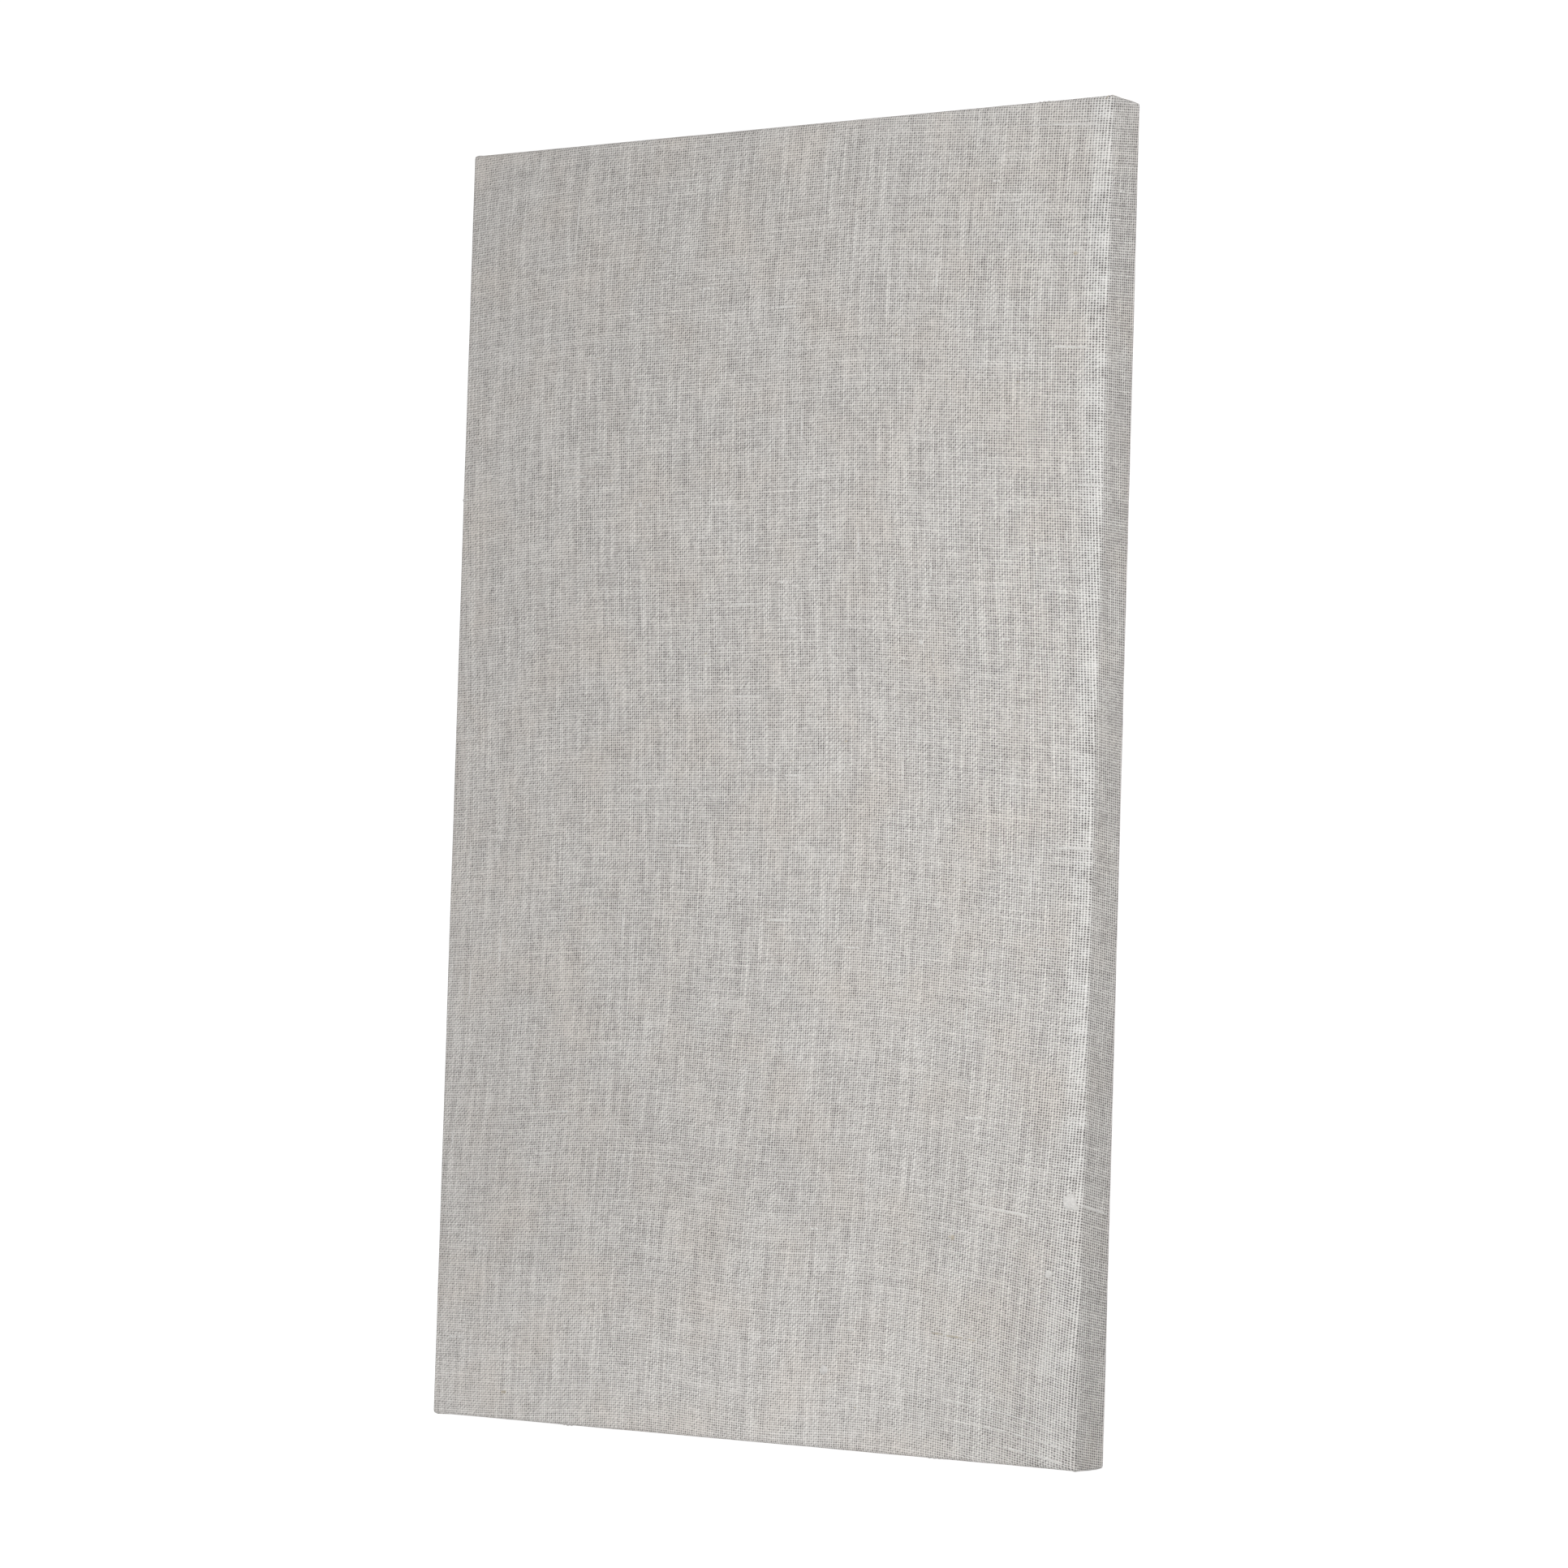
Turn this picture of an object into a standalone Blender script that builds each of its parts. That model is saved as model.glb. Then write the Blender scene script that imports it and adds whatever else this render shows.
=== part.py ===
"""Fabric-wrapped acoustic wall panel, lying on its back with the cloth face up.

A stiff slab of mineral wool is wrapped in one cut of open plain-weave cloth. The cloth covers the front and
the four edges and turns onto the back as a glued hem. The hem is mitred at the corners and leaves a window
in which the wool shows. Metres, +Z up. The origin is the middle of the back face.
"""

from math import radians, sqrt

import bmesh
import bpy
from mathutils import Matrix

# Finished panel
PANEL_WIDTH = 0.600
PANEL_HEIGHT = 1.000
PANEL_THICKNESS = 0.040

# Cloth and the way it wraps the slab
CLOTH_THICKNESS = 0.001
HEM_WIDTH = 0.050
MITRE_GAP = 0.0006
WRAP_CLEARANCE = 0.0003

# Outer roundings of the wrapped slab
FRONT_EDGE_RADIUS = 0.003
BACK_EDGE_RADIUS = 0.002
CORNER_RADIUS = 0.0016
ROUNDING_STEPS = 4

# How far a cutter reaches past the cloth that it cuts
CUTTER_OVERRUN = 0.002

CLOTH_COLOUR = (0.58, 0.55, 0.52, 1.0)
CLOTH_ROUGHNESS = 0.95
WOOL_COLOUR = (0.36, 0.29, 0.16, 1.0)
WOOL_ROUGHNESS = 1.0


def clear_scene():
    """Start from an empty scene."""
    for old in list(bpy.data.objects):
        bpy.data.objects.remove(old, do_unlink=True)


def plain_material(name, colour, roughness):
    """A non-metallic surface of one colour."""
    material = bpy.data.materials.new(name)
    material.use_nodes = True
    shader = material.node_tree.nodes["Principled BSDF"]
    shader.inputs["Base Color"].default_value = colour
    shader.inputs["Roughness"].default_value = roughness
    shader.inputs["Metallic"].default_value = 0.0
    material.diffuse_color = colour
    return material


def box_object(name, low, high):
    """A closed box between two opposite corners."""
    size = [top - bottom for bottom, top in zip(low, high)]
    middle = [(top + bottom) / 2 for bottom, top in zip(low, high)]
    shape = bmesh.new()
    bmesh.ops.create_cube(shape, size=1.0, matrix=Matrix.Translation(middle) @ Matrix.Diagonal((*size, 1.0)))
    mesh = bpy.data.meshes.new(name)
    shape.to_mesh(mesh)
    shape.free()
    box = bpy.data.objects.new(name, mesh)
    bpy.context.collection.objects.link(box)
    return box


def rounded_slab(name, depth):
    """The wrapped slab's outline, lying a given depth below the outer surface of the cloth.

    Every face moves in by the depth and every rounding loses it, so nested slabs keep an even wall.
    """
    low = (depth - PANEL_WIDTH / 2, depth - PANEL_HEIGHT / 2, depth)
    high = (PANEL_WIDTH / 2 - depth, PANEL_HEIGHT / 2 - depth, PANEL_THICKNESS - depth)
    slab = box_object(name, low, high)
    widest = max(FRONT_EDGE_RADIUS, BACK_EDGE_RADIUS, CORNER_RADIUS)
    weights = slab.data.attributes.new("bevel_weight_edge", "FLOAT", "EDGE")
    middle_height = PANEL_THICKNESS / 2
    for edge, weight in zip(slab.data.edges, weights.data):
        heights = [slab.data.vertices[index].co.z for index in edge.vertices]
        if min(heights) > middle_height:
            radius = FRONT_EDGE_RADIUS
        elif max(heights) < middle_height:
            radius = BACK_EDGE_RADIUS
        else:
            radius = CORNER_RADIUS
        weight.value = max(radius - depth, 0.0) / widest
    rounding = slab.modifiers.new("rounding", "BEVEL")
    rounding.limit_method = "WEIGHT"
    rounding.width = widest
    rounding.segments = ROUNDING_STEPS
    rounding.use_clamp_overlap = True
    return slab


def cut(piece, cutter):
    """Take a cutter's shape out of a piece, and hide the cutter."""
    boolean = piece.modifiers.new(cutter.name, "BOOLEAN")
    boolean.operation = "DIFFERENCE"
    boolean.solver = "EXACT"
    boolean.object = cutter
    cutter.hide_render = True
    cutter.display_type = "WIRE"


def back_window():
    """The opening that the hem leaves in the back of the cloth."""
    half_width = PANEL_WIDTH / 2 - HEM_WIDTH
    half_height = PANEL_HEIGHT / 2 - HEM_WIDTH
    low = (-half_width, -half_height, -CUTTER_OVERRUN)
    high = (half_width, half_height, CLOTH_THICKNESS + CUTTER_OVERRUN)
    return box_object("back_window", low, high)


def mitre_slit(side_x, side_y):
    """The open joint between two hems, along the diagonal of one back corner."""
    outer_inset = CORNER_RADIUS + BACK_EDGE_RADIUS
    inner_inset = HEM_WIDTH + CUTTER_OVERRUN
    middle_inset = (outer_inset + inner_inset) / 2
    half_length = (inner_inset - outer_inset) / sqrt(2)
    low = (-half_length, -MITRE_GAP / 2, -CUTTER_OVERRUN)
    high = (half_length, MITRE_GAP / 2, CLOTH_THICKNESS + CUTTER_OVERRUN)
    slit = box_object("mitre_slit", low, high)
    slit.location.x = side_x * (PANEL_WIDTH / 2 - middle_inset)
    slit.location.y = side_y * (PANEL_HEIGHT / 2 - middle_inset)
    slit.rotation_euler.z = radians(45) * side_x * side_y
    return slit


def fabric_cover():
    """The cloth: a thin skin round the slab, open at the back window and slit along the four mitres."""
    cover = rounded_slab("fabric_cover", 0.0)
    cut(cover, rounded_slab("slab_pocket", CLOTH_THICKNESS))
    cut(cover, back_window())
    for side_x in (-1, 1):
        for side_y in (-1, 1):
            cut(cover, mitre_slit(side_x, side_y))
    cover.data.materials.append(plain_material("cloth", CLOTH_COLOUR, CLOTH_ROUGHNESS))
    return cover


def mineral_wool_core():
    """The absorber slab, which fills the cloth with a small clearance."""
    core = rounded_slab("mineral_wool_core", CLOTH_THICKNESS + WRAP_CLEARANCE)
    core.data.materials.append(plain_material("mineral_wool", WOOL_COLOUR, WOOL_ROUGHNESS))
    return core


clear_scene()
fabric_cover()
mineral_wool_core()
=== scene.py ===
"""Fabric-wrapped acoustic wall panel, dressed for the render.

The panel lies on its back with the cloth face up, as it would on a bench. Metres, +Z up. The origin is the
middle of the back face, so +Y is the height that the panel has on a wall and +Z comes out of its face.
"""

import random
from math import cos, dist, pi, radians, sin, sqrt

import bmesh
import bpy
import numpy as np
from mathutils import Matrix, Vector, noise
from mathutils.bvhtree import BVHTree


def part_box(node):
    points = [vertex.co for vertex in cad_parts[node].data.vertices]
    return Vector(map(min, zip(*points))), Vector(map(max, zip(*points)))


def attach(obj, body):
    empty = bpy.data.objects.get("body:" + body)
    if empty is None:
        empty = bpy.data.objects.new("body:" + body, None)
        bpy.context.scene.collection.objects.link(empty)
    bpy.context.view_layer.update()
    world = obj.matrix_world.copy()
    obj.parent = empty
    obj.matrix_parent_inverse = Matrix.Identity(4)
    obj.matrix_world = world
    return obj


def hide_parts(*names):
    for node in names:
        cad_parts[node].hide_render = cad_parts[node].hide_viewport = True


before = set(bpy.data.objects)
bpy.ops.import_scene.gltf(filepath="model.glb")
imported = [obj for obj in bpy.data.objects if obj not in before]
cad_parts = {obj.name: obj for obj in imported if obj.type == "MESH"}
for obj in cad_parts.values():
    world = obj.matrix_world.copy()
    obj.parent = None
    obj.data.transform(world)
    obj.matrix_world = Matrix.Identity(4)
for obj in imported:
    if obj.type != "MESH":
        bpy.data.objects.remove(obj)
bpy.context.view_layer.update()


# Mineral-wool slab
# One stiff board of felted mineral fibre, sawn to size. It fills the wrapping and shows only in the window
# that the hem leaves on the back: a matt brown-green felt, its fibres lying every way, with pale flecks.
WOOL_COLOUR = (0.30, 0.235, 0.12, 1.0)
WOOL_SHADE = (0.155, 0.115, 0.055, 1.0)
WOOL_FLECK = (0.52, 0.44, 0.27, 1.0)
WOOL_ROUGHNESS = 1.0
FIBRE_FINENESS = 900.0
FIBRES_ACROSS = (1.0, 0.12, 0.6)
FIBRES_ALONG = (0.12, 1.0, 0.6)
PATCH_FINENESS = 55.0
PATCH_SHADE = 0.45
FLECK_FINENESS = 420.0
FLECK_START = 0.70
FLECK_FULL = 0.76
WOOL_RELIEF = 0.0012
WOOL_RELIEF_STRENGTH = 0.9


def new_material(name, colour, roughness):
    """A node material with one plain shader, its node tree and that shader."""
    material = bpy.data.materials.new(name)
    material.use_nodes = True
    tree = material.node_tree
    shader = tree.nodes["Principled BSDF"]
    shader.inputs["Base Color"].default_value = colour
    shader.inputs["Roughness"].default_value = roughness
    shader.inputs["Metallic"].default_value = 0.0
    return material, tree, shader


def join(tree, source, target):
    """Wire a number, a colour or another node's output into a socket."""
    if isinstance(source, bpy.types.NodeSocket):
        tree.links.new(source, target)
    else:
        target.default_value = source


def reckon(tree, operation, *inputs):
    """One sum on the surface: a Math node fed with numbers or other sums."""
    node = tree.nodes.new("ShaderNodeMath")
    node.operation = operation
    for source, target in zip(inputs, node.inputs):
        join(tree, source, target)
    return node.outputs[0]


def ramp(tree, value, low, high, start, end):
    """Carry a value that runs from low to high over to one that runs smoothly from start to end."""
    node = tree.nodes.new("ShaderNodeMapRange")
    node.interpolation_type = "SMOOTHSTEP"
    names = ("Value", "From Min", "From Max", "To Min", "To Max")
    for source, name in zip((value, low, high, start, end), names):
        join(tree, source, node.inputs[name])
    return node.outputs["Result"]


def blend_colour(tree, share, first, second):
    """Mix two colours by a share from 0 to 1."""
    node = tree.nodes.new("ShaderNodeMix")
    node.data_type = "RGBA"
    for source, target in zip((share, first, second), (node.inputs[0], node.inputs[6], node.inputs[7])):
        join(tree, source, target)
    return node.outputs[2]


def cloud(tree, vector, scale, detail, stretch=(1.0, 1.0, 1.0)):
    """Smooth noise from 0 to 1, pulled out along an axis where the stretch is small."""
    mapping = tree.nodes.new("ShaderNodeMapping")
    mapping.inputs["Scale"].default_value = stretch
    join(tree, vector, mapping.inputs["Vector"])
    node = tree.nodes.new("ShaderNodeTexNoise")
    node.inputs["Scale"].default_value = scale
    node.inputs["Detail"].default_value = detail
    join(tree, mapping.outputs[0], node.inputs["Vector"])
    return node.outputs["Fac"]


def add_bump(tree, shader, height, distance, strength):
    """Feed a height to the shader as fine relief."""
    bump = tree.nodes.new("ShaderNodeBump")
    bump.inputs["Distance"].default_value = distance
    bump.inputs["Strength"].default_value = strength
    join(tree, height, bump.inputs["Height"])
    join(tree, bump.outputs[0], shader.inputs["Normal"])


wool, tree, shader = new_material("felted_mineral_wool", WOOL_COLOUR, WOOL_ROUGHNESS)
place = tree.nodes.new("ShaderNodeTexCoord").outputs["Object"]
lay_across = cloud(tree, place, FIBRE_FINENESS, 3.0, FIBRES_ACROSS)
lay_along = cloud(tree, place, FIBRE_FINENESS, 3.0, FIBRES_ALONG)
patches = cloud(tree, place, PATCH_FINENESS, 4.0)
fibres = reckon(tree, "MAXIMUM", lay_across, lay_along)
flecks = ramp(tree, cloud(tree, place, FLECK_FINENESS, 1.0), FLECK_START, FLECK_FULL, 0.0, 1.0)
felt = blend_colour(tree, ramp(tree, fibres, 0.42, 0.72, 0.0, 1.0), WOOL_SHADE, WOOL_COLOUR)
patched = blend_colour(tree, ramp(tree, patches, 0.35, 0.7, 0.0, PATCH_SHADE), felt, WOOL_SHADE)
join(tree, blend_colour(tree, flecks, patched, WOOL_FLECK), shader.inputs["Base Color"])
add_bump(tree, shader, fibres, WOOL_RELIEF, WOOL_RELIEF_STRENGTH)
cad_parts["mineral_wool_core"].material_slots[0].material = wool


# Cloth cover
# One cut of open plain-weave cloth in undyed slubby yarn. It is stretched over the face, turned down the
# four edges and glued to the back as a hem, with a mitre at each corner.
low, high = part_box("fabric_cover")
PANEL_WIDTH = high.x - low.x
PANEL_HEIGHT = high.y - low.y
PANEL_THICKNESS = high.z - low.z
CLOTH_THICKNESS = 0.0009
HEM_WIDTH = 0.050
FRONT_EDGE_RADIUS = 0.003
BACK_EDGE_RADIUS = 0.002
CORNER_RADIUS = 0.0016
MITRE_GAP = 0.0006
EDGE_STEPS = 4
SIDE_STEPS = 6
HEM_STEPS = 8
FACE_CELL = 0.0054
CLOTH_WAVE = 0.0004
CLOTH_WAVE_LENGTH = 0.07
EDGE_SLACK = 0.00001
MERGE_DISTANCE = 0.00002

FLAT_HALF_WIDTH = PANEL_WIDTH / 2 - FRONT_EDGE_RADIUS
FLAT_HALF_HEIGHT = PANEL_HEIGHT / 2 - FRONT_EDGE_RADIUS
FRONT_ARC = FRONT_EDGE_RADIUS * pi / 2
SIDE_DEPTH = PANEL_THICKNESS - FRONT_EDGE_RADIUS - BACK_EDGE_RADIUS
BACK_ARC = BACK_EDGE_RADIUS * pi / 2
HEM_DEPTH = HEM_WIDTH - BACK_EDGE_RADIUS
FLAP_LENGTH = FRONT_ARC + SIDE_DEPTH + BACK_ARC + HEM_DEPTH


def pick(piece, chosen, mode="EDGE"):
    """Select some edges or faces of a piece in edit mode and nothing else."""
    bpy.ops.mesh.select_mode(type=mode)
    bpy.ops.mesh.select_all(action="DESELECT")
    shape = bmesh.from_edit_mesh(piece.data)
    parts = shape.edges if mode == "EDGE" else shape.faces
    for part in parts:
        if chosen(part):
            part.select_set(True)
    bmesh.update_edit_mesh(piece.data)


def flap_rows():
    """The cloth from the flat of the face outwards: the distance along it, and how far its ends spread."""
    for step in range(1, EDGE_STEPS + 1):
        turn = pi / 2 * step / EDGE_STEPS
        yield FRONT_ARC * step / EDGE_STEPS, FRONT_EDGE_RADIUS * sin(turn)
    for step in range(1, SIDE_STEPS + 1):
        yield FRONT_ARC + SIDE_DEPTH * step / SIDE_STEPS, FRONT_EDGE_RADIUS
    for step in range(1, EDGE_STEPS + 1):
        turn = pi / 2 * step / EDGE_STEPS
        spread = FRONT_EDGE_RADIUS - BACK_EDGE_RADIUS * (1 - cos(turn))
        yield FRONT_ARC + SIDE_DEPTH + BACK_ARC * step / EDGE_STEPS, spread
    for step in range(1, HEM_STEPS + 1):
        inwards = HEM_DEPTH * step / HEM_STEPS
        spread = FRONT_EDGE_RADIUS - BACK_EDGE_RADIUS - inwards - MITRE_GAP / sqrt(2)
        yield FLAP_LENGTH - HEM_DEPTH + inwards, spread


def cut_flap(piece, side_x, side_y):
    """Draw one flap out of one side of the flat cloth, row by row, narrowing it for the mitre."""
    half_out = FLAT_HALF_WIDTH if side_x else FLAT_HALF_HEIGHT
    half_along = FLAT_HALF_HEIGHT if side_x else FLAT_HALF_WIDTH

    def on_edge(edge):
        outwards = [v.co.x * side_x + v.co.y * side_y for v in edge.verts]
        sideways = [abs(v.co.x * side_y) + abs(v.co.y * side_x) for v in edge.verts]
        return min(outwards) > half_out - EDGE_SLACK and max(sideways) < half_along + EDGE_SLACK

    pick(piece, on_edge)
    last_out = 0.0
    last_half = half_along
    for out, spread in flap_rows():
        step = (side_x * (out - last_out), side_y * (out - last_out), 0.0)
        bpy.ops.mesh.extrude_edges_move(TRANSFORM_OT_translate={"value": step})
        stretch = (half_along + spread) / last_half
        size = (1.0, stretch, 1.0) if side_x else (stretch, 1.0, 1.0)
        bpy.ops.transform.resize(value=size, center_override=(0.0, 0.0, 0.0))
        last_out = out
        last_half = half_along + spread


bpy.ops.object.select_all(action="DESELECT")
bpy.ops.mesh.primitive_grid_add(
    x_subdivisions=round(2 * FLAT_HALF_WIDTH / FACE_CELL),
    y_subdivisions=round(2 * FLAT_HALF_HEIGHT / FACE_CELL),
    size=1.0,
)
cloth = bpy.context.object
cloth.name = "cloth_cover"
bpy.ops.object.mode_set(mode="EDIT")
bpy.ops.mesh.select_all(action="SELECT")
bpy.ops.transform.resize(value=(2 * FLAT_HALF_WIDTH, 2 * FLAT_HALF_HEIGHT, 1.0))
for side in ((1, 0), (-1, 0), (0, 1), (0, -1)):
    cut_flap(cloth, *side)
bpy.ops.object.mode_set(mode="OBJECT")

# The weave: the warps lie closest at the left edge and wider towards the right one, wider still where the
# wrap has pulled them open, and widest down the side. Between the edges the threads sway and sag.
WARP_SPACING = 0.00206
WARP_CLOSE = 0.00180
WARP_WIDER = 0.00230
WARP_OPEN = 0.00260
WARP_SIDE = 0.00280
WARP_STATIONS = (
    (-0.420, WARP_SPACING),
    (-0.300, WARP_CLOSE),
    (-0.110, WARP_SPACING),
    (0.150, WARP_SPACING),
    (0.283, WARP_WIDER),
    (0.288, WARP_OPEN),
    (0.300, WARP_OPEN),
    (0.304, WARP_SIDE),
    (0.336, WARP_SIDE),
    (0.420, WARP_SPACING),
)
WARP_EASE = 0.006
WEFT_STATIONS = ((-0.640, 0.00176), (0.0, 0.00182), (0.350, 0.00188), (0.450, 0.00182), (0.640, 0.00180))
WEFT_EASE = 0.05
LINE_POINTS = 1201
SWAY = 0.008
SWAY_LENGTH = 0.85
SWAY_TOP = -0.08
SWAY_LEAN = 0.010
SAG_LEFT = 0.075
SAG_LEFT_START = -0.15
SAG_LEFT_RUN = 0.10
SAG_RIGHT = 0.068
SAG_RIGHT_START = 0.06
SAG_RIGHT_RUN = 0.06
RIPPLE = 0.0025
RIPPLE_LENGTH = 0.25
RIPPLE_CREST = -0.10
RIPPLE_START = 0.1
RIPPLE_FADE = 0.6
PULL = 0.17
PULL_FULL = -0.40
PULL_NONE = -0.27
PULL_START = 0.215
PULL_RUN = 0.07
FAN_START = 0.300
FAN_LOW_PLACE = -0.26
FAN_HIGH_PLACE = 0.46
FAN_LOW = 0.13
FAN_HIGH = -0.20

# The strip beside the right edge that the wrap has strained: wider low down, and gone once round the edge
STRAIN_START = 0.280
STRAIN_RISE = 0.008
STRAIN_END = 0.3035
STRAIN_FALL = 0.003
STRAIN_WIDER = 0.016
STRAIN_WIDE_BELOW = -0.42
STRAIN_PLAIN_ABOVE = -0.30


def smooth_line(stations, width):
    """A curve through a few stations, with its corners rounded over a width."""
    fine = np.linspace(stations[0][0], stations[-1][0], LINE_POINTS)
    line = np.interp(fine, *zip(*stations))
    count = max(3, int(width / (fine[1] - fine[0])) | 1)
    padded = np.pad(line, count // 2, mode="edge")
    return fine, np.convolve(padded, np.ones(count) / count, "valid")


def thread_count(stations, width):
    """Threads counted from the middle of the cloth, from the spacing between them."""
    fine, spacing = smooth_line(stations, width)
    steps = np.diff(fine) / ((spacing[1:] + spacing[:-1]) / 2)
    count = np.concatenate([[0.0], np.cumsum(steps)])
    return fine, count - np.interp(0.0, fine, count)


def bend_away(distance, run):
    """How far a thread has left its line past the place where it bends: softly over a run, then evenly."""
    near = np.clip(distance, 0.0, run)
    return near * near / (2 * run) + np.clip(distance - run, 0.0, None)


def weft_hang(across, along):
    """How far a weft lies off its straight line: it sags, ripples low down, and fans out at the right."""
    low_down = np.clip((RIPPLE_START - along) / RIPPLE_FADE, 0.0, 1.0)
    ripple = RIPPLE * low_down * np.cos(2 * pi * (across - RIPPLE_CREST) / RIPPLE_LENGTH)
    sag_left = SAG_LEFT * bend_away(SAG_LEFT_START - across, SAG_LEFT_RUN)
    sag_right = SAG_RIGHT * bend_away(across - SAG_RIGHT_START, SAG_RIGHT_RUN)
    pull = np.interp(along, (PULL_FULL, PULL_NONE), (PULL, 0.0))
    pull = pull * bend_away(np.minimum(across, FAN_START) - PULL_START, PULL_RUN)
    fan = np.interp(along, (FAN_LOW_PLACE, FAN_HIGH_PLACE), (FAN_LOW, FAN_HIGH))
    fan = fan * np.clip(across - FAN_START, 0.0, None)
    return ripple - sag_left - sag_right - pull - fan


def warp_drift(along):
    """How far a warp lies off its straight line: one slow wave along the panel, and a slight lean."""
    return SWAY * np.cos(2 * pi * (along - SWAY_TOP) / SWAY_LENGTH) + SWAY_LEAN * along


flat = np.empty(len(cloth.data.vertices) * 3)
cloth.data.vertices.foreach_get("co", flat)
flat = flat.reshape(-1, 3)
across = flat[:, 0]
along = flat[:, 1]
warp_number = np.interp(across, *thread_count(WARP_STATIONS, WARP_EASE)) - warp_drift(along) / WARP_SPACING
warp_gap = np.interp(across, *smooth_line(WARP_STATIONS, WARP_EASE)) / WARP_SPACING
weft_number = np.interp(along - weft_hang(across, along), *thread_count(WEFT_STATIONS, WEFT_EASE))
wider = np.interp(along, (STRAIN_WIDE_BELOW, STRAIN_PLAIN_ABOVE), (STRAIN_WIDER, 0.0))
strain_begun = np.clip((across - STRAIN_START + wider) / STRAIN_RISE, 0.0, 1.0)
strain_left = np.clip((STRAIN_END - across) / STRAIN_FALL, 0.0, 1.0)
edge_strain = strain_begun * strain_left
corner_vertex = np.empty(len(cloth.data.loops), dtype=np.int32)
cloth.data.loops.foreach_get("vertex_index", corner_vertex)
weave_map = cloth.data.uv_layers.new(name="weave")
threads = np.stack([warp_number[corner_vertex], weft_number[corner_vertex]], axis=1)
weave_map.data.foreach_set("uv", threads.ravel().astype(np.float32))
pulled_open = cloth.data.attributes.new("pulled_open", "FLOAT", "POINT")
pulled_open.data.foreach_set("value", warp_gap.astype(np.float32))
strained_edge = cloth.data.attributes.new("strained_edge", "FLOAT", "POINT")
strained_edge.data.foreach_set("value", edge_strain.astype(np.float32))


def wrapped(distance, half_flat):
    """Where cloth at a distance from the middle lies once wrapped: how far out, and how high."""
    out = abs(distance) - half_flat
    side = 1.0 if distance > 0 else -1.0
    if out <= 0:
        return distance, PANEL_THICKNESS
    if out <= FRONT_ARC:
        turn = out / FRONT_EDGE_RADIUS
        height = PANEL_THICKNESS - FRONT_EDGE_RADIUS * (1 - cos(turn))
        return side * (half_flat + FRONT_EDGE_RADIUS * sin(turn)), height
    out -= FRONT_ARC
    if out <= SIDE_DEPTH:
        return side * (half_flat + FRONT_EDGE_RADIUS), PANEL_THICKNESS - FRONT_EDGE_RADIUS - out
    out -= SIDE_DEPTH
    reach = half_flat + FRONT_EDGE_RADIUS - BACK_EDGE_RADIUS
    if out <= BACK_ARC:
        turn = out / BACK_EDGE_RADIUS
        return side * (reach + BACK_EDGE_RADIUS * cos(turn)), BACK_EDGE_RADIUS * (1 - sin(turn))
    return side * (reach - (out - BACK_ARC)), 0.0


def fold(point):
    """Fold the flat cloth round the slab: a flap goes down its edge and onto the back."""
    over_x = abs(point[0]) - FLAT_HALF_WIDTH
    over_y = abs(point[1]) - FLAT_HALF_HEIGHT
    if over_x <= 0 and over_y <= 0:
        return point[0], point[1], PANEL_THICKNESS
    if over_x > over_y:
        x, z = wrapped(point[0], FLAT_HALF_WIDTH)
        return x, point[1], z
    y, z = wrapped(point[1], FLAT_HALF_HEIGHT)
    return point[0], y, z


folded = np.array([fold(point) for point in flat], dtype=np.float32)
cloth.data.vertices.foreach_set("co", folded.ravel())
cloth.data.update()

bpy.ops.object.mode_set(mode="EDIT")
bpy.ops.mesh.select_all(action="SELECT")
bpy.ops.mesh.remove_doubles(threshold=MERGE_DISTANCE)
bpy.ops.mesh.normals_make_consistent(inside=False)


def is_upright_corner(edge):
    """An edge of the cloth where two flaps meet, from the face down to the back."""
    for vertex in edge.verts:
        inset_x = PANEL_WIDTH / 2 - abs(vertex.co.x)
        inset_y = PANEL_HEIGHT / 2 - abs(vertex.co.y)
        if abs(inset_x - inset_y) > MERGE_DISTANCE or inset_x > FRONT_EDGE_RADIUS + MERGE_DISTANCE:
            return False
    return not edge.is_boundary


pick(cloth, is_upright_corner)
bpy.ops.mesh.bevel(offset=CORNER_RADIUS, segments=EDGE_STEPS, affect="EDGES")
bpy.ops.object.mode_set(mode="OBJECT")

waves = bpy.data.textures.new("cloth_waves", "CLOUDS")
waves.noise_scale = CLOTH_WAVE_LENGTH
waving = cloth.modifiers.new("waving", "DISPLACE")
waving.texture = waves
waving.texture_coords = "LOCAL"
waving.strength = CLOTH_WAVE
waving.mid_level = 0.5
wall = cloth.modifiers.new("wall", "SOLIDIFY")
wall.thickness = CLOTH_THICKNESS
wall.offset = -1.0
bpy.ops.object.modifier_apply(modifier="waving")
bpy.ops.object.modifier_apply(modifier="wall")
bpy.ops.object.shade_smooth()

YARN_PALE = (0.738, 0.715, 0.688, 1.0)
YARN_DEEP = (0.555, 0.528, 0.508, 1.0)
YARN_WARM = (0.68, 0.62, 0.565, 1.0)
# Paler yarn colour for the strip beside the right edge
YARN_STRIP_PALE = (0.80, 0.79, 0.775, 1.0)
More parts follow.
